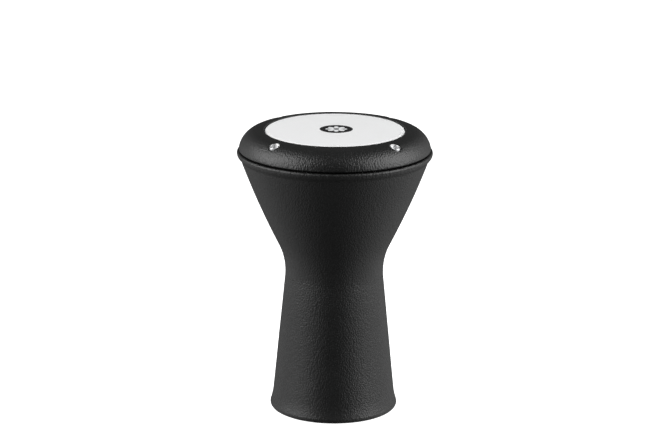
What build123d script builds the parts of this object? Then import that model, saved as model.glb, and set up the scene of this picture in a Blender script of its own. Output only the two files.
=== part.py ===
from build123d import *

import os
from collections import namedtuple
from math import copysign, cos, radians, sin

# Egyptian darbuka: a leather-covered cast-aluminium goblet drum, whose plastic head is tensioned by a clamp
# collar. It stands on z = 0 with its axis on Z, and its front faces -Y. Lengths are millimetres, and each
# separate piece is written to parts/NAME.step.

# Driving dimensions
HEIGHT = 444.0  # floor to the playing surface
HEAD_FLAT_R = 103.3  # where the drumhead starts to turn down over the bearing edge
HEAD_EDGE_R = 4.5  # bend of the drumhead over the bearing edge
FILM = 0.35  # plastic drumhead
LEATHER = 1.2  # covering of the shell
COLLAR_LEATHER = 1.0  # covering of the clamp collar, stretched thinner
GLUE = 0.1  # under the leather, and between drumhead and bearing edge
SHELL_WALL = 3.0
COLLAR_WALL = 4.0
TUNING_GAP = 1.5  # between the collar's lower edge and the top of the shell's rim

# Tension bolts: M8 x 40 socket head cap screws, one at each corner of a square
BOLT_CIRCLE_R = 129.0
BOLT_R = 3.95
BOLT_LENGTH = 40.0
BOLT_HEAD_R = 6.5
BOLT_HEAD_HEIGHT = 8.0
HEX_SOCKET = 6.0  # across flats
HEX_DEPTH = 4.0
HEAD_SUNK = 6.0  # bolt heads lie this far below the playing surface
WASHER_R = 7.8
WASHER_HOLE_R = 4.5
WASHER_THICK = 1.6
COUNTERBORE_R = 8.0
BOLT_HOLE_R = 4.5
CORNERS = {"front_left": 225, "front_right": 315, "back_right": 45, "back_left": 135}

# Thread inserts in the shell, and the bosses that hold them and the bolts
INSERT_R = 6.0
INSERT_BORE_R = 4.0
INSERT_LENGTH = 20.0
SHELL_BOSS_R = 10.0
SHELL_BOSS_BELOW = 6.4  # boss metal below the insert
COLLAR_BOSS_R = 13.0
COLLAR_BOSS_UNDER_SEAT = 7.4

# Flesh hoop: the aluminium ring that grips the edge of the drumhead
HOOP_TOP = HEIGHT - 14.5
HOOP_HEIGHT = 8.0
HOOP_INNER_R = 108.0
HOOP_OUTER_R = 115.3
HOOP_GROOVE_INNER_R = 108.65
HOOP_GROOVE_OUTER_R = 109.75
HOOP_GROOVE_DEPTH = 5.5

# Bearing edge and shoulder of the shell
RING_BORE_R = 101.0
RING_BEVEL = 1.8
SHOULDER_THICK = 4.0
FOOT_BORE_TOP = 24.0  # the foot is thickened inwards up to here

WAIST_SEAM_GAP = 0.3
BACK_SEAM_GAP = 0.4

# An outline is a start pose (radius, height, heading in degrees) and a chain of moves. Positive turns go
# left, and the material lies on the left, so an inset moves the outline into the material by that much.
Run = namedtuple("Run", "length")
Bend = namedtuple("Bend", "radius turn")

# Leather surface of the shell, from the hem inside the foot, down, out and up to the hem under the collar
SHELL_START = (85.2, 14.0, 270)
SHELL_SKIN = [
    Run(11.7),  # hem inside the foot
    Bend(2.3, 90),
    Run(4.9),  # flat that stands on the floor
    Bend(6.5, 108.5),  # rounded edge of the foot
    Bend(95, -12.9),  # flare fading into the stem
    Run(180.75),  # stem
    Bend(100, -3),  # start of the waist
    Run(WAIST_SEAM_GAP),
    Bend(100, -29.4),  # waist
    Bend(1250, 6.6),  # bowl, nearly a cone
    Bend(8, -21.8),  # crease below the rim
    Run(4.4),
    Bend(9, 42),  # rim bead
    Bend(3.2, 90),
    Run(8.7),  # hem on the shoulder
]
STEM_COVER = slice(0, 7)
SEAM_TO_RIM = slice(8, len(SHELL_SKIN))
SHELL_INSIDE = slice(5, 10)

# Leather surface of the collar, from the underside of its skirt, up, over and down inside the lip
COLLAR_SKIN = [
    Run(2.1),
    Bend(2, 104),
    Run(3.2),
    Bend(33, 62),
    Bend(53, 14),
    Bend(1.5, 97.9),  # lip beside the drumhead
    Run(8),  # hem inside the lip
    Run(4.6),  # bare metal down to the flesh hoop
]
COLLAR_COVER = slice(0, 7)
COLLAR_ROOF = slice(2, 5)
COLLAR_SKIRT_R = 143.8  # radius at which the collar's skin starts
CHANNEL_INNER_R = 117.0  # inner wall of the collar's hollow underside


def advance(pose, move, share=1.0):
    """The pose after a share of a move."""
    r, z, heading = pose
    if isinstance(move, Run):
        length = move.length * share
        return r + length * cos(radians(heading)), z + length * sin(radians(heading)), heading
    swing = copysign(move.radius, move.turn)
    turned = heading + move.turn * share
    return (
        r + swing * (sin(radians(turned)) - sin(radians(heading))),
        z - swing * (cos(radians(turned)) - cos(radians(heading))),
        turned,
    )


def beside(pose, inset):
    """The point at a distance to the left of a pose, in the XZ plane."""
    r, z, heading = pose
    return Vector(r - inset * sin(radians(heading)), 0, z + inset * cos(radians(heading)))


def outline(start, moves, inset=0.0, part=slice(None)):
    """Edges of part of a chain of moves, at an inset."""
    edges = []
    pose = start
    wanted = range(len(moves))[part]
    for index, move in enumerate(moves):
        after = advance(pose, move)
        if index in wanted and isinstance(move, Run):
            edges.append(Edge.make_line(beside(pose, inset), beside(after, inset)))
        elif index in wanted:
            middle = advance(pose, move, 0.5)
            places = [beside(p, inset) for p in (pose, middle, after)]
            edges.append(Edge.make_three_point_arc(*places))
        pose = after
    return edges


def height_after(start, moves):
    pose = start
    for move in moves:
        pose = advance(pose, move)
    return pose[1]


def line_through(*points):
    """Straight edges through (radius, height) points or vectors."""
    places = [p if isinstance(p, Vector) else Vector(p[0], 0, p[1]) for p in points]
    return [Edge.make_line(a, b) for a, b in zip(places, places[1:])]


def turned_solid(edges):
    """The solid of revolution about Z of a closed outline in the XZ plane."""
    return revolve(Face(Wire(edges)), Axis.Z, 360)


def skin_layer(start, moves, thickness, part):
    """A layer of even thickness that lies under part of a skin."""
    outer = outline(start, moves, 0, part)
    inner = outline(start, moves, thickness, part)
    first_end = line_through(outer[0] @ 0, inner[0] @ 0)
    last_end = line_through(outer[-1] @ 1, inner[-1] @ 1)
    return turned_solid(outer + last_end + inner + first_end)


def upright(radius, bottom, top, centre=(0, 0)):
    """A vertical cylinder between two heights."""
    height = top - bottom
    return Pos(centre[0], centre[1], bottom + height / 2) * Cylinder(radius, height)


def bolt_places():
    """The name and the (x, y) of each tension bolt."""
    for name, angle in CORNERS.items():
        yield name, (BOLT_CIRCLE_R * cos(radians(angle)), BOLT_CIRCLE_R * sin(radians(angle)))


SHELL_METAL = LEATHER + GLUE  # inset of the shell's outer metal face
COLLAR_METAL = COLLAR_LEATHER + GLUE
RIM_TOP = height_after(SHELL_START, SHELL_SKIN)
SHOULDER_TOP = RIM_TOP - SHELL_METAL
SHOULDER_UNDER = SHOULDER_TOP - SHOULDER_THICK
INSERT_BOTTOM = SHOULDER_TOP - INSERT_LENGTH
SHELL_BOSS_BOTTOM = INSERT_BOTTOM - SHELL_BOSS_BELOW
COLLAR_START = (COLLAR_SKIRT_R, RIM_TOP + TUNING_GAP, 0)
BOLT_HEAD_TOP = HEIGHT - HEAD_SUNK
BOLT_HEAD_UNDER = BOLT_HEAD_TOP - BOLT_HEAD_HEIGHT
SEAT = BOLT_HEAD_UNDER - WASHER_THICK
COLLAR_BOSS_BOTTOM = SEAT - COLLAR_BOSS_UNDER_SEAT


def shell():
    """Cast goblet with the shoulder, the bearing ring and four bosses."""
    outside = outline(SHELL_START, SHELL_SKIN, SHELL_METAL)
    inside = outline(SHELL_START, SHELL_SKIN, SHELL_METAL + SHELL_WALL, SHELL_INSIDE)
    foot_bore_r = (outside[0] @ 0).X
    wall_top = inside[-1] @ 1
    crown_r = HEAD_EDGE_R - FILM - GLUE
    crown_z = HEIGHT - HEAD_EDGE_R
    crown = Edge.make_three_point_arc(
        Vector(HEAD_FLAT_R + crown_r, 0, crown_z),
        Vector(HEAD_FLAT_R + crown_r * cos(radians(45)), 0, crown_z + crown_r * sin(radians(45))),
        Vector(HEAD_FLAT_R, 0, crown_z + crown_r),
    )
    ring_outside = line_through(outside[-1] @ 1, (HEAD_FLAT_R + crown_r, SHOULDER_TOP), crown @ 0)
    ring_inside = line_through(
        crown @ 1,
        (RING_BORE_R + RING_BEVEL, crown_z + crown_r),
        (RING_BORE_R, crown_z + crown_r - RING_BEVEL),
        (RING_BORE_R, SHOULDER_UNDER),
        (wall_top.X, SHOULDER_UNDER),
        wall_top,
    )
    foot_inside = line_through(inside[0] @ 0, (foot_bore_r, FOOT_BORE_TOP), outside[0] @ 0)
    body = turned_solid(outside + ring_outside + [crown] + ring_inside + inside + foot_inside)
    block = turned_solid(
        outside
        + line_through(
            outside[-1] @ 1, (0, SHOULDER_TOP), (0, (outside[0] @ 0).Z), outside[0] @ 0
        )
    )
    for _, place in bolt_places():
        body += upright(SHELL_BOSS_R, SHELL_BOSS_BOTTOM, SHOULDER_TOP, place) & block
    for _, place in bolt_places():
        body -= upright(INSERT_R, INSERT_BOTTOM, HEIGHT, place)
        body -= upright(BOLT_HOLE_R, SHELL_BOSS_BOTTOM - 1, HEIGHT, place)
    return body


def back_seam(cover):
    """The cover with the narrow gap where its edges meet at the back."""
    return cover - Pos(0, HEAD_FLAT_R, HEIGHT / 2) * Box(BACK_SEAM_GAP, 2 * HEAD_FLAT_R, HEIGHT)


def stem_cover():
    """Leather from the waist seam down round the foot, with its hem turned up inside."""
    return back_seam(skin_layer(SHELL_START, SHELL_SKIN, LEATHER, STEM_COVER))


def bowl_cover():
    """Leather from the waist seam up round the rim, with its hem on the shoulder."""
    return back_seam(skin_layer(SHELL_START, SHELL_SKIN, LEATHER, SEAM_TO_RIM))


def clamp_collar():
    """Hollow cast ring that presses the flesh hoop down, with four bosses for the bolts."""
    outside = outline(COLLAR_START, COLLAR_SKIN, COLLAR_METAL)
    roof = outline(COLLAR_START, COLLAR_SKIN, COLLAR_METAL + COLLAR_WALL, COLLAR_ROOF)
    bottom = (outside[0] @ 0).Z
    block = turned_solid(
        outside
        + line_through(
            outside[-1] @ 1,
            ((outside[-1] @ 1).X, HOOP_TOP),
            (CHANNEL_INNER_R, HOOP_TOP),
            (CHANNEL_INNER_R, bottom),
            outside[0] @ 0,
        )
    )
    channel = turned_solid(
        roof
        + line_through(
            roof[-1] @ 1,
            ((roof[-1] @ 1).X, bottom - 1),
            ((roof[0] @ 0).X, bottom - 1),
            roof[0] @ 0,
        )
    ) - upright(CHANNEL_INNER_R, 0, HEIGHT)
    body = block - channel
    for _, place in bolt_places():
        body += upright(COLLAR_BOSS_R, COLLAR_BOSS_BOTTOM, HEIGHT, place) & block
    for _, place in bolt_places():
        body -= upright(COUNTERBORE_R, SEAT, HEIGHT, place)
        body -= upright(BOLT_HOLE_R, COLLAR_BOSS_BOTTOM - 1, HEIGHT, place)
    return body


def collar_cover():
    """Leather stretched over the collar, cut out round the bolt heads."""
    cover = skin_layer(COLLAR_START, COLLAR_SKIN, COLLAR_LEATHER, COLLAR_COVER)
    for _, place in bolt_places():
        cover -= upright(COUNTERBORE_R, SEAT, HEIGHT, place)
    return cover


def film_path():
    """Start and moves of the drumhead's upper face, from the axis out and down to its edge."""
    slope = 7.9  # the skirt leans out by this many degrees, like the inside of the collar
    straighten = Bend(4, -slope)
    skirt_top = advance(advance((0, HEIGHT, 0), Run(HEAD_FLAT_R)), Bend(HEAD_EDGE_R, slope - 90))
    skirt = Run((skirt_top[1] - HOOP_TOP - 1) / cos(radians(slope)))
    grip = Run(HOOP_GROOVE_DEPTH)
    return (0, HEIGHT, 0), [Run(HEAD_FLAT_R), Bend(HEAD_EDGE_R, slope - 90), skirt, straighten, grip]


def drumhead_film():
    """White plastic film, flat on top, whose skirt ends in the groove of the flesh hoop."""
    start, moves = film_path()
    upper = outline(start, moves)
    lower = outline(start, moves, -FILM)
    edge = line_through(upper[-1] @ 1, lower[-1] @ 1)
    axis = line_through(lower[0] @ 0, upper[0] @ 0)
    return turned_solid(upper + edge + lower + axis)


def flesh_hoop():
    """Ring with a groove in its top for the edge of the drumhead."""
    ring = upright(HOOP_OUTER_R, HOOP_TOP - HOOP_HEIGHT, HOOP_TOP)
    ring -= upright(HOOP_INNER_R, HOOP_TOP - HOOP_HEIGHT, HOOP_TOP)
    groove = upright(HOOP_GROOVE_OUTER_R, HOOP_TOP - HOOP_GROOVE_DEPTH, HOOP_TOP)
    groove -= upright(HOOP_GROOVE_INNER_R, HOOP_TOP - HOOP_GROOVE_DEPTH, HOOP_TOP)
    return ring - groove


def tension_bolt(place):
    """Socket head cap screw."""
    head = upright(BOLT_HEAD_R, BOLT_HEAD_UNDER, BOLT_HEAD_TOP)
    head = chamfer(head.edges().group_by(Axis.Z)[-1], 0.8)
    shank = upright(BOLT_R, BOLT_HEAD_UNDER - BOLT_LENGTH, BOLT_HEAD_UNDER)
    shank = chamfer(shank.edges().group_by(Axis.Z)[0], 1.0)
    hexagon = RegularPolygon(HEX_SOCKET / 2, 6, major_radius=False)
    socket = Pos(0, 0, BOLT_HEAD_TOP - HEX_DEPTH) * extrude(hexagon, HEX_DEPTH)
    return Pos(place[0], place[1], 0) * (head + shank - socket)


def washer(place):
    """Plain washer under a bolt head."""
    disc = upright(WASHER_R, SEAT, BOLT_HEAD_UNDER, place)
    return disc - upright(WASHER_HOLE_R, SEAT, BOLT_HEAD_UNDER, place)


def thread_insert(place):
    """Steel thread insert pressed into a boss of the shell."""
    body = upright(INSERT_R, INSERT_BOTTOM, SHOULDER_TOP, place)
    return body - upright(INSERT_BORE_R, INSERT_BOTTOM, SHOULDER_TOP, place)


def pieces():
    """Every piece by name."""
    made = {
        "shell": shell(),
        "stem_cover": stem_cover(),
        "bowl_cover": bowl_cover(),
        "clamp_collar": clamp_collar(),
        "collar_cover": collar_cover(),
        "drumhead_film": drumhead_film(),
        "flesh_hoop": flesh_hoop(),
    }
    for name, place in bolt_places():
        made[f"tension_bolt_{name}"] = tension_bolt(place)
        made[f"washer_{name}"] = washer(place)
        made[f"thread_insert_{name}"] = thread_insert(place)
    return made


def main():
    os.makedirs("parts", exist_ok=True)
    for name, piece in pieces().items():
        export_step(piece, f"parts/{name}.step")


main()
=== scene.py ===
"""The looks of a leather-covered goblet drum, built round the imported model.

Lengths are metres in the model's own frame: the drum stands on z = 0, its axis is Z and its front faces -Y.
"""

from collections import namedtuple
from math import atan2, cos, hypot, pi, radians, sin, tau

import bmesh
import bpy
import numpy as np
from mathutils import Matrix, Vector, noise

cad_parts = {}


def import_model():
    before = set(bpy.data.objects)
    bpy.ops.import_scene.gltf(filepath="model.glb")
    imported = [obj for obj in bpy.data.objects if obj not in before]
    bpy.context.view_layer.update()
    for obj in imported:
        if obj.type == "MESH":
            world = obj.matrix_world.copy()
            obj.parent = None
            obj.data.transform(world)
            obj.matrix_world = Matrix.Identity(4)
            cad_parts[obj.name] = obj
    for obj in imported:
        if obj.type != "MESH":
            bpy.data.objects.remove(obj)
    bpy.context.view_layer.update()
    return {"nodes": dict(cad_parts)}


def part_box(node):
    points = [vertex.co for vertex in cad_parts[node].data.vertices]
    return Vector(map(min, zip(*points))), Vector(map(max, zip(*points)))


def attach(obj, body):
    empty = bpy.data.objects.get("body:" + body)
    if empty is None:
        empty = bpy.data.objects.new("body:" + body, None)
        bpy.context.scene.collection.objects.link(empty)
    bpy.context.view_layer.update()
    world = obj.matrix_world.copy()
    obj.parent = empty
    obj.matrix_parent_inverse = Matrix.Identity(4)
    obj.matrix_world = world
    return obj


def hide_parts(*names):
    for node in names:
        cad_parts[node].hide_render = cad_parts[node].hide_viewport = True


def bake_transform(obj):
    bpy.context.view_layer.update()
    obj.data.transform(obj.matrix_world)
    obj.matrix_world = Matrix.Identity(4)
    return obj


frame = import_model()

MM = 0.001
FRONT = 1.5 * pi  # the angle about Z that faces -Y
BACK = 0.5 * pi

# ----------------------------------------------------------------------------------------------------
# Outlines, as the drum was drawn: a start pose (radius mm, height mm, heading degrees) and a chain of moves.
# Positive turns go left, and the drum's inside lies on the left.

Run = namedtuple("Run", "length")
Bend = namedtuple("Bend", "radius turn")

LEATHER = 1.2  # thickness of the covering of the shell, in mm
COLLAR_LEATHER = 1.0
WAIST_SEAM_GAP = Run(0.3)
BACK_SEAM_GAP = 0.4 * MM

STEM_START = (85.2, 14.0, 270)
STEM_SKIN = [
    Run(11.7),  # hem inside the foot
    Bend(2.3, 90),
    Run(4.9),  # flat that stands on the floor
    Bend(6.5, 108.5),  # rounded edge of the foot
    Bend(95, -12.9),  # flare fading into the stem
    Run(180.75),
    Bend(100, -3),  # start of the waist
]
BOWL_SKIN = [
    Bend(100, -29.4),  # waist
    Bend(1250, 6.6),  # bowl, nearly a cone
    Bend(8, -21.8),  # crease below the rim
    Run(4.4),
    Bend(9, 42),  # rim bead
    Bend(3.2, 90),
    Run(8.7),  # hem on the shoulder
]
TUNING_GAP = 1.5
COLLAR_SKIRT_R = 143.8
COLLAR_SKIN = [
    Run(2.1),
    Bend(2, 104),
    Run(3.2),
    Bend(33, 62),
    Bend(53, 14),
    Bend(1.5, 97.9),  # lip beside the drumhead
    Run(8),  # hem inside the lip
]
HEAD_START = (0, 444, 0)
HEAD_FILM = 0.35
HEAD_SLOPE = 7.9  # degrees by which the skirt leans out
HEAD_SKIN = [
    Run(103.3),
    Bend(4.5, HEAD_SLOPE - 90),  # over the bearing edge
    Run(9.71),  # skirt
    Bend(4, -HEAD_SLOPE),
    Run(5.5),  # gripped by the flesh hoop
]


def advance(pose, move, share=1.0):
    """The pose after a share of a move."""
    r, z, heading = pose
    if isinstance(move, Run):
        length = move.length * share
        return r + length * cos(radians(heading)), z + length * sin(radians(heading)), heading
    swing = move.radius if move.turn > 0 else -move.radius
    turned = heading + move.turn * share
    return (
        r + swing * (sin(radians(turned)) - sin(radians(heading))),
        z - swing * (cos(radians(turned)) - cos(radians(heading))),
        turned,
    )


def pose_after(pose, moves):
    """The pose at the end of a chain of moves."""
    for move in moves:
        pose = advance(pose, move)
    return pose


STEM_WITH_SEAM = STEM_SKIN + [WAIST_SEAM_GAP]
BOWL_START = pose_after(STEM_START, STEM_WITH_SEAM)
RIM_TOP = pose_after(BOWL_START, BOWL_SKIN)[1]


class Outline:
    """An outline as finely sampled arrays, in metres and radians, that is read at any travelled length."""

    GRAIN = 0.1  # mm between samples

    def __init__(self, start, moves):
        travel, poses = [], []
        pose, done = start, 0.0
        for move in moves:
            length = move.length if isinstance(move, Run) else move.radius * radians(abs(move.turn))
            count = max(2, round(length / self.GRAIN))
            for k in range(count):
                travel.append(done + length * k / count)
                poses.append(advance(pose, move, k / count))
            pose = advance(pose, move)
            done += length
        travel.append(done)
        poses.append(pose)
        self.travel = np.array(travel) * MM
        self.r, self.z, self.heading = np.array(poses).T * np.array([[MM], [MM], [pi / 180]])
        self.length = self.travel[-1]

    def at(self, travel):
        """(radius, height, outward normal's radial part, its vertical part) at travelled lengths."""
        heading = np.interp(travel, self.travel, self.heading)
        r = np.interp(travel, self.travel, self.r)
        z = np.interp(travel, self.travel, self.z)
        return r, z, np.sin(heading), -np.cos(heading)


def spread(first, last, step):
    """Numbers from first to last, as far apart as step says."""
    trials = 6001
    x = np.linspace(first, last, trials)
    crowd = np.concatenate([[0.0], np.cumsum(np.diff(x) / step((x[1:] + x[:-1]) / 2))])
    count = int(np.ceil(crowd[-1]))
    return np.interp(np.linspace(0, crowd[-1], count + 1), crowd, x)


def near_ends(x, first, last):
    """A step that shrinks towards both ends of a range."""
    least, growth = 0.12 * MM, 0.45
    return least + growth * np.minimum(x - first, last - x)


def smooth(x, low, high):
    """0 at low, 1 at high, with a soft start and end."""
    t = np.clip((x - low) / (high - low), 0, 1)
    return t * t * (3 - 2 * t)


def bell(x, width):
    """1 at 0, falling to 0 on both sides."""
    return np.exp(-((x / width) ** 2))


def lumps(x, y, z, size):
    """Smooth noise from -1 to 1 with lumps of about that size, at arrays of places."""
    flat = zip(np.ravel(x) / size, np.ravel(y) / size, np.ravel(z) / size)
    return np.array([noise.noise(p) for p in flat]).reshape(np.shape(x))


def new_object(name, bm):
    """A smooth-shaded object made of the mesh, which is used up."""
    mesh = bpy.data.meshes.new(name)
    bm.to_mesh(mesh)
    bm.free()
    mesh.polygons.foreach_set("use_smooth", [True] * len(mesh.polygons))
    made = bpy.data.objects.new(name, mesh)
    bpy.context.scene.collection.objects.link(made)
    return made


def grid(bm, x, y, z, wrap):
    """Adds a grid of quads whose second index runs round Z."""
    rows = [[bm.verts.new(p) for p in zip(*line)] for line in zip(x, y, z)]
    for below, above in zip(rows, rows[1:]):
        count = len(below)
        for j in range(count if wrap else count - 1):
            k = (j + 1) % count
            bm.faces.new((below[j], below[k], above[k], above[j]))


# ----------------------------------------------------------------------------------------------------
# Leather

BOLT_CORNERS = ["front_left", "front_right", "back_right", "back_left"]
HOLE_R = 8 * MM  # cut out round each bolt head
EDGE_ROUNDING = 0.45 * MM
SEAM_ROUNDING = 0.12 * MM


def middle(node):
    """The centre of a node's box in the XY plane."""
    low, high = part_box(node)
    return (low[0] + high[0]) / 2, (low[1] + high[1]) / 2


def over_hole(place, hole):
    """Whether a place is inside a hole, seen from above."""
    return hypot(place.x - hole[0], place.y - hole[1]) < HOLE_R


def at_hole_edge(place, hole):
    """Whether a place is on the edge of a hole, seen from above."""
    return abs(hypot(place.x - hole[0], place.y - hole[1]) - HOLE_R) < 0.1 * MM


def turn_in_edges(bm, thickness, holes):
    """Closes the gap between leather and metal with a strip as wide as the leather is thick."""
    rim = [e for e in bm.edges if e.is_boundary]
    made = bmesh.ops.extrude_edge_only(bm, edges=rim)["geom"]
    for v in [g for g in made if isinstance(g, bmesh.types.BMVert)]:
        inner_edges = [e for e in v.link_edges if not e.is_boundary]
        old = next(e.other_vert(v) for e in inner_edges if e.other_vert(v).normal.length > 0.5)
        at_hole = any(at_hole_edge(v.co, hole) for hole in holes)
        inward = Vector((0, 0, -1)) if at_hole else -old.normal
        v.co = old.co + inward * thickness * MM


def leather(name, outline, travel, angle, relief, thickness, wrap, holes=()):
    """Leather over an outline turned about Z: a grid pushed out by relief, whose cut edges turn in.

    Relief is a function of x, y, z, travelled length and angle, all of them arrays, that gives metres.
    """
    r, z, out_r, out_z = outline.at(travel)
    x, y = r * np.cos(angle), r * np.sin(angle)
    push = relief(x, y, z, travel, angle)
    bm = bmesh.new()
    grid(bm, x + push * out_r * np.cos(angle), y + push * out_r * np.sin(angle), z + push * out_z, wrap)
    for hole in holes:
        inside = [f for f in bm.faces if over_hole(f.calc_center_median(), hole)]
        bmesh.ops.delete(bm, geom=inside, context="FACES")
    bmesh.ops.delete(bm, geom=[v for v in bm.verts if not v.link_faces], context="VERTS")
    bm.normal_update()
    turn_in_edges(bm, thickness, holes)
    return new_object(name, bm)


def rounded_edge(distance, reach=EDGE_ROUNDING):
    """How far a cut edge of leather is rounded off, at a distance from it."""
    return -0.6 * reach * np.clip(1 - distance / reach, 0, 1) ** 2


def gathers(x, y, travel, size, along):
    """Valleys of leather gathered at a turned-in edge, from 0 to 1: size wide, and along times as long."""
    wander = lumps(x, y, travel / along, size)
    return bell(wander, 0.2)


def back_seam(x, y, angle):
    """Relief beside the back seam: a rounded edge and a low ridge next to it."""
    from_front = np.abs((angle - FRONT + pi) % tau - pi)
    distance = np.hypot(x, y) * (pi - from_front) - BACK_SEAM_GAP / 2
    return rounded_edge(distance) + 0.12 * MM * bell(distance - 2.2 * MM, 1.6 * MM)


def seamed_angles(radius, step):
    """Angles from one side of the back seam round the front to the other."""
    gap = BACK_SEAM_GAP / 2 / radius
    first, last = BACK + gap, BACK + tau - gap

    def angle_step(a):
        closer = near_ends(a * radius, first * radius, last * radius)
        return np.minimum(step / radius, closer / radius)

    return spread(first, last, angle_step)


def waver(angle, distance):
    """How far the waist seam strays up and down."""
    drift = lumps(np.cos(angle), np.sin(angle), np.zeros_like(angle), 0.35)
    return 0.3 * MM * drift * bell(distance, 9 * MM)


def stem_leather():
    """Leather of the foot and stem, from the hem to the waist seam."""
    outline = Outline(STEM_START, STEM_WITH_SEAM)
    foot_end = 45 * MM  # rows are closest below this travelled length
    standing = 17.8 * MM  # travelled length at the middle of the flat that stands on the floor
    seam = outline.length - 0.06 * MM  # the two pieces meet in a hairline

    def row_step(s):
        coarser = 4 * MM * smooth(s, foot_end, 1.6 * foot_end)
        return np.minimum(0.9 * MM + coarser, near_ends(s, 0, seam))

    rows, columns = spread(0, seam, row_step), seamed_angles(90 * MM, 1.3 * MM)
    travel, angle = np.meshgrid(rows, columns, indexing="ij")
    to_seam = seam - travel
    travel = travel + waver(angle, to_seam) * (travel > foot_end)

    def relief(x, y, z, s, a):
        slow = 0.10 * MM * lumps(x, y, z, 45 * MM) + 0.05 * MM * lumps(x, y, z, 14 * MM)
        fold = -0.32 * MM * gathers(x, y, s, 5 * MM, 5) * (1 - smooth(s, 15 * MM, 31 * MM))
        lip = rounded_edge(s) + rounded_edge(to_seam, SEAM_ROUNDING)
        off_floor = smooth(np.abs(s - standing), 3 * MM, 7 * MM)
        return (slow + fold + back_seam(x, y, a)) * off_floor + lip

    return leather("stem_leather", outline, np.clip(travel, 0, seam), angle, relief, LEATHER, False)


def bowl_leather():
    """Leather of the waist and bowl, from the waist seam to the hem on the shoulder."""
    outline = Outline(BOWL_START, BOWL_SKIN)
    hem = outline.length
    rim_start = hem - 30 * MM  # rows are closest above this travelled length
    crease_angle, crease_height, crease_slant = radians(313), 281 * MM, 0.12

    def row_step(s):
        coarser = 4 * MM * (1 - smooth(s, 0.75 * rim_start, rim_start))
        return np.minimum(0.8 * MM + coarser, near_ends(s, 0, hem))

    rows, columns = spread(0, hem, row_step), seamed_angles(125 * MM, 1.25 * MM)
    travel, angle = np.meshgrid(rows, columns, indexing="ij")
    from_seam, to_hem = travel, hem - travel
    travel = travel + waver(angle, from_seam) * (to_hem > 60 * MM)

    def relief(x, y, z, s, a):
        slow = 0.12 * MM * lumps(x, y, z, 50 * MM) + 0.05 * MM * lumps(x, y, z, 15 * MM)
        fold = -0.45 * MM * gathers(x, y, s, 4.2 * MM, 4) * (1 - smooth(to_hem, 12 * MM, 28 * MM))
        lip = rounded_edge(from_seam, SEAM_ROUNDING) + rounded_edge(to_hem)
        across = (a - crease_angle) * np.hypot(x, y)
        up = z - crease_height - crease_slant * across
        crease = -0.3 * MM * bell(up, 0.9 * MM) * bell(across, 5 * MM)
        crease += 0.22 * MM * bell(up - 2.2 * MM, 1.3 * MM) * bell(across, 6 * MM)
        bead = smooth(to_hem, 8 * MM, 14 * MM) * (1 - smooth(to_hem, 26 * MM, 34 * MM))
        return slow + fold + lip + back_seam(x, y, a) + crease - 0.2 * MM * bead

    return leather("bowl_leather", outline, np.clip(travel, 0, hem), angle, relief, LEATHER, False)


def collar_leather():
    """Leather stretched over the collar, with a hole round each bolt head."""
    outline = Outline((COLLAR_SKIRT_R, RIM_TOP + TUNING_GAP, 0), COLLAR_SKIN)
    end = outline.length
    on_slope = (outline.z > 414 * MM) & (outline.r < 143 * MM)
    roof = outline.travel[on_slope]
    roof_low, roof_high = roof[0], roof[-1] - 15 * MM
    hole_height = 416 * MM  # every hole is above this
    holes = [middle(f"tension_bolt_{corner}") for corner in BOLT_CORNERS]
    hole_angles = np.array([atan2(y, x) % tau for x, y in holes])
    hole_circle = 129 * MM
    fine, coarse = 0.65 * MM, 1.0 * MM  # rows and columns are finer about the holes
    reach = 0.781 * fine  # vertices this near to a hole's edge move onto it

    def row_step(s):
        on_roof = (s > roof_low) & (s < roof_high)
        return np.minimum(np.where(on_roof, fine, coarse), near_ends(s, 0, end))

    def column_step(a):
        turned_by = np.min(np.abs((a[:, None] - hole_angles + pi) % tau - pi), axis=1)
        return (fine + coarse * smooth(turned_by * hole_circle, 10 * MM, 16 * MM)) / hole_circle

    rows, columns = spread(0, end, row_step), spread(0, tau, column_step)[:-1]
    travel, angle = np.meshgrid(rows, columns, indexing="ij")

    # Vertices beside a hole move onto its edge, and stay on the outline.
    r, z, _, _ = outline.at(travel)
    x, y = r * np.cos(angle), r * np.sin(angle)
    inner = outline.travel > roof_low - 8 * MM  # here each radius of a hole is met once
    for hole_x, hole_y in holes:
        dx, dy = x - hole_x, y - hole_y
        off = np.hypot(dx, dy)
        close = (z > hole_height) & (np.abs(off - HOLE_R) < reach)
        moved_x = hole_x + dx * HOLE_R / np.maximum(off, 1e-9)
        moved_y = hole_y + dy * HOLE_R / np.maximum(off, 1e-9)
        moved_r = np.hypot(moved_x, moved_y)
        new_travel = np.interp(moved_r, outline.r[inner][::-1], outline.travel[inner][::-1])
        travel = np.where(close, new_travel, travel)
        angle = np.where(close, np.arctan2(moved_y, moved_x) % tau, angle)

    def relief(x, y, z, s, a):
        off = np.min([np.hypot(x - h[0], y - h[1]) for h in holes], axis=0) - HOLE_R
        slow = 0.10 * MM * lumps(x, y, z, 40 * MM) + 0.05 * MM * lumps(x, y, z, 13 * MM)
        skirt = -0.28 * MM * gathers(x, y, s, 5 * MM, 4) * (1 - smooth(s, 4 * MM, 11 * MM))
        lip = -0.18 * MM * gathers(x, y, s, 5 * MM, 4) * (1 - smooth(end - s, 8 * MM, 15 * MM))
        dip = -0.55 * MM * bell(np.maximum(off, 0), 1.1 * MM) * (z > hole_height)
        return slow + skirt + lip + dip + rounded_edge(s) + rounded_edge(end - s) - 0.1 * MM

    return leather("collar_leather", outline, travel, angle, relief, COLLAR_LEATHER, True, holes)


# ----------------------------------------------------------------------------------------------------
# Turned and knurled pieces


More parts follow.
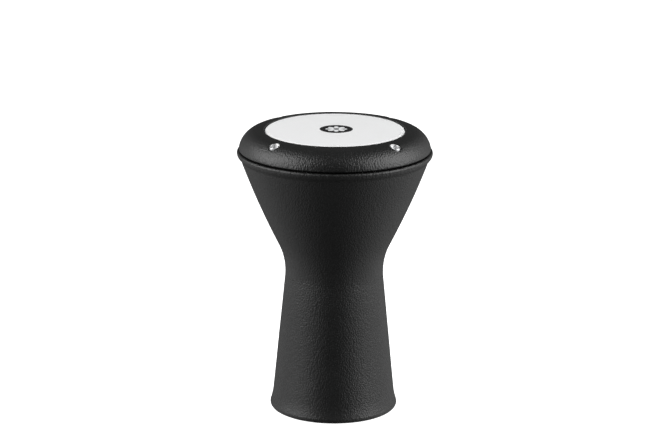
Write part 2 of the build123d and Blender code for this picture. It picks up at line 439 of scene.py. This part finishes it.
def turned(name, strips, columns):
    """Closed strips of rings, each about its upright axis. A ring is (radius or array of radii, height)."""
    bm = bmesh.new()
    angle = np.arange(columns) / columns * tau
    for strip, axis in strips:
        radius = np.array([np.broadcast_to(ring[0], columns) for ring in strip], float)
        height = np.array([np.broadcast_to(ring[1], columns) for ring in strip], float)
        grid(bm, axis[0] + radius * np.cos(angle), axis[1] + radius * np.sin(angle), height, True)
    bmesh.ops.remove_doubles(bm, verts=bm.verts, dist=1e-6)
    bmesh.ops.dissolve_degenerate(bm, edges=bm.edges, dist=1e-7)
    made = new_object(name, bm)
    made.data.set_sharp_from_angle(angle=radians(38))
    return made


def drumhead():
    """The film, a hair below the playing surface, so that its badge stays inside the model's box."""
    outline = Outline(HEAD_START, HEAD_SKIN)
    rim, edge = 101 * MM, 104 * MM  # where the rings come close together, and where the film turns down
    travel = spread(0, outline.length, lambda s: 0.5 * MM + 4 * MM * (1 - smooth(s, 0.85 * rim, rim)))
    r, z, out_r, out_z = outline.at(travel)
    sink = 0.06 * MM * (1 - smooth(travel, rim, edge))
    thick = HEAD_FILM * MM
    upper = list(zip(r, z - sink))
    lower = list(zip(np.maximum(r + thick * out_r, 0), z + thick * out_z))
    return turned("drumhead", [(lower + upper[::-1], (0, 0))], 360)


BADGE_R = 25.5 * MM
BADGE_CENTRE = (2 * MM, 3 * MM)  # printed a little off the middle of the head
BADGE_SUNK = 0.045 * MM  # its face below the playing surface
INK = 0.01 * MM
PETALS = 8


def badge(name, inner, outer, columns, lift):
    """A flat ring or disc printed on the drumhead, between two radii or arrays of radii."""
    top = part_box("drumhead_film")[1][2] - BADGE_SUNK + lift
    under = top - INK
    rings = [(outer, under), (outer, top), (inner, top), (inner, under)]
    return turned(name, [(rings, BADGE_CENTRE)], columns)


def badge_ground():
    return badge("badge_ground", 0.0, BADGE_R, 128, 0.0)


def badge_figure():
    """A plain flower of eight petals."""
    columns = 48 * PETALS
    petal = np.abs(np.cos(np.arange(columns) / columns * tau * PETALS / 2)) ** 0.6
    return badge("badge_figure", 4.5 * MM, 5.5 * MM + 11.5 * MM * petal, columns, 2 * INK)


PITCH = 1.25 * MM
HEAD_R = 6.5 * MM
HEAD_HEIGHT = 8 * MM
HEX_R = 3 * MM  # half across the flats
KNURLS = 48
SHANK_R = 3.95 * MM
PLAIN_SHANK = 10 * MM
THREAD_DEPTH = 0.72 * MM


def bolt_head(under, top, angle):
    """Rings of a straight-knurled head, its rounded rim, and a hex socket with a drilled bottom."""
    knurled = HEAD_R - 0.16 * MM * (0.5 - 0.5 * np.cos(angle * KNURLS)) ** 0.7
    hexagon = HEX_R / np.cos(angle % (pi / 3) - pi / 6)
    rings = [(0.0, under), (HEAD_R - 0.5 * MM, under), (HEAD_R - 0.15 * MM, under + 0.25 * MM)]
    rings += [(HEAD_R - 0.15 * MM, under + 0.7 * MM)]
    rings += [(knurled, under + z * MM) for z in (1.1, 3.0, 5.0, 6.9)]
    rings += [(HEAD_R - 0.12 * MM, top - 0.75 * MM), (HEAD_R - 0.3 * MM, top - 0.42 * MM)]
    rings += [(HEAD_R - 0.62 * MM, top - 0.16 * MM), (HEAD_R - 1.05 * MM, top), (3.75 * MM, top)]
    rings += [(np.maximum(hexagon, 3.3 * MM), top - 0.35 * MM), (hexagon, top - 0.7 * MM)]
    rings += [(hexagon, top - 3.9 * MM), (2.6 * MM, top - 4.1 * MM), (0.0, top - 5.2 * MM)]
    return rings


def bolt_shank(bottom, under, angle):
    """Rings of a shank that is threaded up to its plain part."""
    thread_top = under - PLAIN_SHANK
    plain_r = SHANK_R - 0.1 * MM
    rings = [(0.0, bottom)]
    for z in spread(bottom, thread_top, lambda z: np.full_like(z, PITCH / 8)):
        wave = np.abs(((z - bottom) / PITCH - angle / tau) % 1 - 0.5) * 2
        taper = smooth(z - bottom, 0, 1.4 * MM)
        rings.append((SHANK_R - THREAD_DEPTH * (1 - np.clip(wave * 1.25 - 0.1, 0, 1) * taper), z))
    return rings + [(plain_r, thread_top + 0.8 * MM), (plain_r, under), (0.0, under)]


def socket_bolt(corner):
    """Socket head cap screw at one corner."""
    node = f"tension_bolt_{corner}"
    bottom, top = (c[2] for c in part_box(node))
    axis = middle(node)
    under = top - HEAD_HEIGHT
    columns = 4 * KNURLS
    angle = np.arange(columns) / columns * tau
    strips = [(bolt_head(under, top, angle), axis), (bolt_shank(bottom, under, angle), axis)]
    made = turned(f"socket_bolt_{corner}", strips, columns)
    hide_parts(node)
    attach(made, f"bolt_{corner}")
    return made


# ----------------------------------------------------------------------------------------------------
# Materials


class Nodes:
    """Short calls that add nodes to a tree."""

    def __init__(self, tree):
        self.tree = tree

    def add(self, kind, inputs=None, **settings):
        """A new node. Its inputs are by name or by number."""
        node = self.tree.nodes.new(kind)
        for key, value in settings.items():
            setattr(node, key, value)
        for key, value in (inputs or {}).items():
            self.put(node.inputs[key], value)
        return node

    def put(self, socket, value):
        """Gives an input a value, or links it to another node's output."""
        if isinstance(value, bpy.types.NodeSocket):
            self.tree.links.new(value, socket)
        else:
            socket.default_value = value

    def math(self, operation, a, b=0.0, c=0.0):
        node = self.add("ShaderNodeMath", {0: a, 1: b, 2: c}, operation=operation)
        return node.outputs[0]

    def ranged(self, value, low, high, to_low, to_high, **settings):
        """A value taken from one range to another."""
        names = ("Value", "From Min", "From Max", "To Min", "To Max")
        inputs = dict(zip(names, (value, low, high, to_low, to_high)))
        return self.add("ShaderNodeMapRange", inputs, **settings).outputs["Result"]


class Shader(Nodes):
    """A material with a principled shader."""

    def __init__(self, name):
        self.material = bpy.data.materials.new(name)
        self.material.use_nodes = True
        super().__init__(self.material.node_tree)
        self.principled = self.tree.nodes["Principled BSDF"]
        self.place = self.add("ShaderNodeTexCoord").outputs["Object"]

    def set(self, **values):
        """Gives inputs of the principled shader their values or links."""
        for key, value in values.items():
            self.put(self.principled.inputs[key.replace("_", " ")], value)

    def vector(self, operation, a, b):
        return self.add("ShaderNodeVectorMath", {0: a, 1: b}, operation=operation).outputs[0]

    def weighted(self, a, weight_a, b, weight_b):
        """The sum of two values, each times its weight."""
        return self.math("ADD", self.math("MULTIPLY", a, weight_a), self.math("MULTIPLY", b, weight_b))

    def noise(self, scale, detail=2.0, rough=0.5, vector=None):
        """Noise from 0 to 1, with lumps about 1 / scale across."""
        inputs = {"Vector": vector or self.place, "Scale": scale, "Detail": detail, "Roughness": rough}
        return self.add("ShaderNodeTexNoise", inputs).outputs["Fac"]

    def blend(self, factor, a, b):
        """A colour between two colours."""
        node = self.add("ShaderNodeMix", data_type="RGBA")
        self.put(node.inputs[0], factor)
        self.put(node.inputs[6], a if isinstance(a, bpy.types.NodeSocket) else (*a, 1))
        self.put(node.inputs[7], b if isinstance(b, bpy.types.NodeSocket) else (*b, 1))
        return node.outputs[2]

    def bump(self, height, distance, strength, under=None):
        """Normals of a height map, on top of other normals if there are any."""
        inputs = {"Height": height, "Distance": distance, "Strength": strength}
        if under:
            inputs["Normal"] = under
        return self.add("ShaderNodeBump", inputs).outputs["Normal"]


def leather_material(name, grain_width, stretch, relief, rough, wrapped_at=None):
    """Black artificial leather with an embossed grain, drawn out up and down.

    Over the collar, wrapped_at is a radius: the grain is drawn out from there towards the lip.
    """
    s = Shader(name)
    place = s.place
    if wrapped_at:
        height = s.add("ShaderNodeSeparateXYZ", {"Vector": s.place}).outputs["Z"]
        flat = s.vector("MULTIPLY", s.place, (1, 1, 0))
        reach = s.add("ShaderNodeVectorMath", {0: flat}, operation="LENGTH").outputs["Value"]
        around = s.add("ShaderNodeVectorMath", {0: flat}, operation="NORMALIZE").outputs[0]
        ring = s.vector("MULTIPLY", around, (wrapped_at,) * 3)
        rise = s.add("ShaderNodeCombineXYZ", {"Z": s.math("SUBTRACT", height, reach)}).outputs[0]
        place = s.vector("ADD", ring, rise)
    drift = s.add("ShaderNodeTexNoise", {"Vector": place, "Scale": 300.0, "Detail": 1.0}).outputs["Color"]
    centred = s.vector("ADD", drift, (-0.5, -0.5, -0.5))
    moved = s.vector("ADD", place, s.vector("MULTIPLY", centred, (0.8 * MM,) * 3))
    drawn = s.vector("MULTIPLY", moved, (1, 1, stretch))
    cells = s.add(
        "ShaderNodeTexVoronoi",
        {"Vector": drawn, "Scale": 1 / grain_width, "Smoothness": 0.3, "Randomness": 0.78},
        feature="SMOOTH_F1",
    ).outputs["Distance"]
    pebble = s.ranged(cells, 0.15, 0.75, 1.0, 0.0)
    fine = s.noise(2.2 / grain_width, 3.0, 0.6, drawn)
    grain = s.weighted(pebble, 0.8, fine, 0.3)
    slow = s.bump(s.noise(60.0, 2.0, 0.45), 0.6 * MM, 0.3)
    worn = s.ranged(pebble, 0.0, 1.0, rough + 0.08, rough - 0.06)
    handled = s.ranged(s.noise(22.0, 2.0), 0.3, 0.7, -0.02, 0.03)
    s.set(Base_Color=s.blend(pebble, (0.0036, 0.0038, 0.0038), (0.0080, 0.0084, 0.0084)))
    s.set(Roughness=s.math("ADD", worn, handled), Specular_IOR_Level=0.5)
    s.set(Normal=s.bump(grain, relief, 1.0, slow))
    return s.material


def cast_metal(name, colour, bright_axis=None):
    """Sand-cast aluminium. It is turned bright about bolts at (+-bright_axis, +-bright_axis)."""
    s = Shader(name)
    sand = s.noise(900.0, 4.0, 0.62)
    height = s.weighted(sand, 0.5, s.noise(160.0, 2.0), 0.6)
    stain = s.ranged(s.noise(34.0, 3.0, 0.6), 0.35, 0.7, 0.0, 1.0)
    colour = s.blend(stain, colour, tuple(0.8 * c for c in colour))
    rough = s.ranged(sand, 0.3, 0.7, 0.42, 0.6)
    depth = 0.35 * MM
    if bright_axis:
        way = s.add("ShaderNodeSeparateXYZ", {"Vector": s.place}).outputs
        x = s.math("SUBTRACT", s.math("ABSOLUTE", way["X"]), bright_axis)
        y = s.math("SUBTRACT", s.math("ABSOLUTE", way["Y"]), bright_axis)
        off = s.math("SQRT", s.weighted(x, x, y, y))
        bored = s.math("LESS_THAN", off, HOLE_R + 0.3 * MM)
        cast = s.math("SUBTRACT", 1.0, bored)
        lines = s.noise(1.0, 1.0, 0.5, s.vector("MULTIPLY", s.place, (40.0, 40.0, 9000.0)))
        colour = s.blend(bored, colour, (0.90, 0.90, 0.90))
        rough = s.weighted(rough, cast, bored, 0.42)
        height = s.weighted(height, cast, s.math("MULTIPLY", lines, bored), 0.25)
        depth = 0.3 * MM
    s.set(Base_Color=colour, Metallic=1.0, Roughness=rough, Normal=s.bump(height, depth, 0.8))
    return s.material


def plain_metal(name, colour, rough):
    """Plated, turned or rolled metal with faint marks."""
    s = Shader(name)
    marks = s.noise(2600.0, 3.0, 0.6, s.vector("MULTIPLY", s.place, (1.0, 1.0, 3.0)))
    cloud = s.noise(260.0, 3.0)
    dull = s.ranged(cloud, 0.35, 0.7, 0.0, 1.0)
    s.set(Base_Color=s.blend(dull, colour, tuple(0.86 * c for c in colour)), Metallic=1.0)
    s.set(Roughness=s.ranged(cloud, 0.3, 0.7, rough, rough + 0.12), Normal=s.bump(marks, 0.04 * MM, 0.6))
    return s.material


def film_material():
    """Milky plastic film, slightly frosted, with a faint darker cloud where it is played."""
    s = Shader("milky_film")
    frost = s.noise(5200.0, 2.0, 0.6)
    smudge = s.noise(38.0, 3.0, 0.55)
    played = s.ranged(smudge, 0.3, 0.75, 0.0, 1.0)
    s.set(Base_Color=s.blend(played, (0.930, 0.935, 0.937), (0.910, 0.915, 0.918)))
    s.set(Roughness=s.ranged(smudge, 0.3, 0.7, 0.34, 0.46), Normal=s.bump(frost, 0.02 * MM, 0.5))
    return s.material


def print_material(name, colour):
    """Ink on the drumhead, a little uneven."""
    s = Shader(name)
    wear = s.noise(900.0, 4.0, 0.6)
    paler = tuple(min(1, c * 1.15 + 0.006) for c in colour)
    s.set(Base_Color=s.blend(s.ranged(wear, 0.45, 0.8, 0.0, 1.0), colour, paler))
    s.set(Roughness=s.ranged(wear, 0.3, 0.7, 0.36, 0.5), Normal=s.bump(wear, 0.01 * MM, 0.4))
    return s.material


def dress(piece, material):
    """Gives a piece one material."""
    piece.data.materials.clear()
    piece.data.materials.append(material)


def dress_node(node, material):
    """Gives a node of the model a material, in every slot that it has."""
    piece = frame["nodes"][node]
    if not piece.material_slots:
        piece.data.materials.append(material)
    for slot in piece.material_slots:
        slot.link = "OBJECT"
        slot.material = material


# ----------------------------------------------------------------------------------------------------
# The drum


def make_drum():
    shell_leather = leather_material("black_leather", 2.15 * MM, 0.66, 0.42 * MM, 0.38)
    stretched_leather = leather_material("black_leather_stretched", 2.2 * MM, 0.45, 0.42 * MM, 0.33, 0.135)

    stem = stem_leather()
    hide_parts("stem_cover")
    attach(stem, "shell")
    dress(stem, shell_leather)

    bowl = bowl_leather()
    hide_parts("bowl_cover")
    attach(bowl, "shell")
    dress(bowl, shell_leather)

    collar = collar_leather()
    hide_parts("collar_cover")
    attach(collar, "collar")
    dress(collar, stretched_leather)

    head = drumhead()
    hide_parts("drumhead_film")
    dress(head, film_material())
    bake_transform(head)

    ground = badge_ground()
    dress(ground, print_material("badge_black", (0.004, 0.004, 0.0045)))
    figure = badge_figure()
    dress(figure, print_material("badge_white", (0.80, 0.81, 0.82)))
    for piece in (ground, figure):
        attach(piece, "shell")

    plated = plain_metal("zinc_plated", (0.86, 0.865, 0.875), 0.40)
    steel = plain_metal("turned_steel", (0.60, 0.60, 0.60), 0.3)
    for corner in BOLT_CORNERS:
        dress(socket_bolt(corner), plated)
        dress_node(f"washer_{corner}", plated)
        dress_node(f"thread_insert_{corner}", steel)
    bolt_x = abs(middle("tension_bolt_front_left")[0])
    dress_node("shell", cast_metal("cast_aluminium", (0.62, 0.62, 0.63)))
    dress_node("clamp_collar", cast_metal("collar_aluminium", (0.66, 0.66, 0.67), bolt_x))
    dress_node("flesh_hoop", plain_metal("rolled_aluminium", (0.74, 0.74, 0.75), 0.32))


# ----------------------------------------------------------------------------------------------------
# Studio


def floor():
    """White sweep, which isn't seen from below."""
    bm = bmesh.new()
    reach, below_foot = 30, 0.3 * MM
    places = [(x * reach, y * reach, -below_foot) for x, y in ((-1, -1), (1, -1), (1, 1), (-1, 1))]
    bm.faces.new([bm.verts.new(place) for place in places])
    made = new_object("studio_floor", bm)
    s = Shader("white_floor")
    mottle = s.noise(3.0, 2.0)
    s.set(Base_Color=s.blend(mottle, (0.82, 0.82, 0.82), (0.80, 0.80, 0.80)), Roughness=0.9)
    s.set(Emission_Color=(1, 1, 1, 1), Emission_Strength=1.0)
    under = s.add("ShaderNodeNewGeometry").outputs["Backfacing"]
    clear = s.add("ShaderNodeBsdfTransparent").outputs[0]
    mix = s.add("ShaderNodeMixShader", {0: under, 1: s.principled.outputs[0], 2: clear}).outputs[0]
    s.put(s.tree.nodes["Material Output"].inputs["Surface"], mix)
    dress(made, s.material)
    made.visible_glossy = False
    made.visible_diffuse = False
    made.visible_shadow = False


def softbox(name, place, target, width, height, radiance, beam=180):
    """A rectangular lamp. A narrow beam, in degrees, lights only what is near the target."""
    lamp = bpy.data.lights.new(name, "AREA")
    lamp.shape = "RECTANGLE"
    lamp.spread = radians(beam)
    lamp.size, lamp.size_y, lamp.energy = width, height, radiance * pi * width * height
    made = bpy.data.objects.new(name, lamp)
    made.location = place
    made.rotation_euler = (Vector(target) - Vector(place)).to_track_quat("-Z", "Y").to_euler()
    made.visible_camera = False
    bpy.context.scene.collection.objects.link(made)


def world():
    """White to the eye. It lights the drum from both sides, and hardly from the front."""
    made = bpy.data.worlds.new("studio_world")
    made.use_nodes = True
    made.node_tree.nodes.clear()
    n = Nodes(made.node_tree)
    generated = n.add("ShaderNodeTexCoord").outputs["Generated"]
    way = n.add("ShaderNodeSeparateXYZ", {"Vector": generated}).outputs

    def eased(value, low, high, to_low, to_high):
        return n.ranged(value, low, high, to_low, to_high, interpolation_type="SMOOTHSTEP")

    turned_back = eased(way["Z"], -0.35, 0.0, 0.07, 0.0)
    aside = n.math("MULTIPLY_ADD", way["Y"], turned_back, n.math("ABSOLUTE", way["X"]))
    front = eased(way["Z"], -0.75, 0.1, 0.14, 0.02)
    left_to_right = eased(way["X"], -0.6, 0.6, 0.79, 0.97)
    overhead = eased(way["Z"], 0.45, 0.75, 0.0, 0.14)
    rear = n.math("MULTIPLY", eased(way["Y"], 0.3, 0.9, 0.0, 0.09), eased(way["Z"], -0.2, -0.05, 0.0, 1.0))
    panels = eased(aside, 0.20, 0.98, front, 1.10)
    around = n.math("MULTIPLY_ADD", panels, left_to_right, rear)
    lit = n.add("ShaderNodeBackground", {"Strength": n.math("ADD", around, overhead)}).outputs[0]
    seen = n.add("ShaderNodeBackground", {"Color": (1, 1, 1, 1)}).outputs[0]
    direct = n.add("ShaderNodeLightPath").outputs["Is Camera Ray"]
    mix = n.add("ShaderNodeMixShader", {0: direct, 1: lit, 2: seen}).outputs[0]
    n.add("ShaderNodeOutputWorld", {"Surface": mix})
    bpy.context.scene.world = made


def lights():
    """A large softbox above each side, and a narrow low lamp on each side that reaches only the foot."""
    for side, sign, radiance in (("left", -1, 3.4), ("right", 1, 3.15)):
        softbox(f"softbox_{side}", (sign * 1.45, -0.33, 1.15), (0, 0, 0.42), 1.75, 1.6, radiance)
        softbox(f"foot_light_{side}", (sign * 0.754, -0.3, 0), (0, 0, -0.07), 0.5, 0.2, 0.18, 30)


def camera():
    """A long lens in front of the drum and above it, looking down a little."""
    lens = bpy.data.cameras.new("camera")
    lens.sensor_width = 36
    lens.lens = 161.8
    lens.dof.use_dof = False
    lens.clip_start, lens.clip_end = 0.1, 60
    made = bpy.data.objects.new("camera", lens)
    height, distance, aside = 1.542, 4.5, 0.0024
    pitch, roll = 15.43, 0.35  # degrees
    turn = Matrix.Rotation(radians(90 - pitch), 4, "X") @ Matrix.Rotation(radians(roll), 4, "Z")
    made.matrix_world = Matrix.Translation((aside, -distance, height)) @ turn
    bpy.context.scene.collection.objects.link(made)
    bpy.context.scene.camera = made


make_drum()
floor()
lights()
world()
camera()
bpy.context.scene.view_settings.view_transform = "Standard"
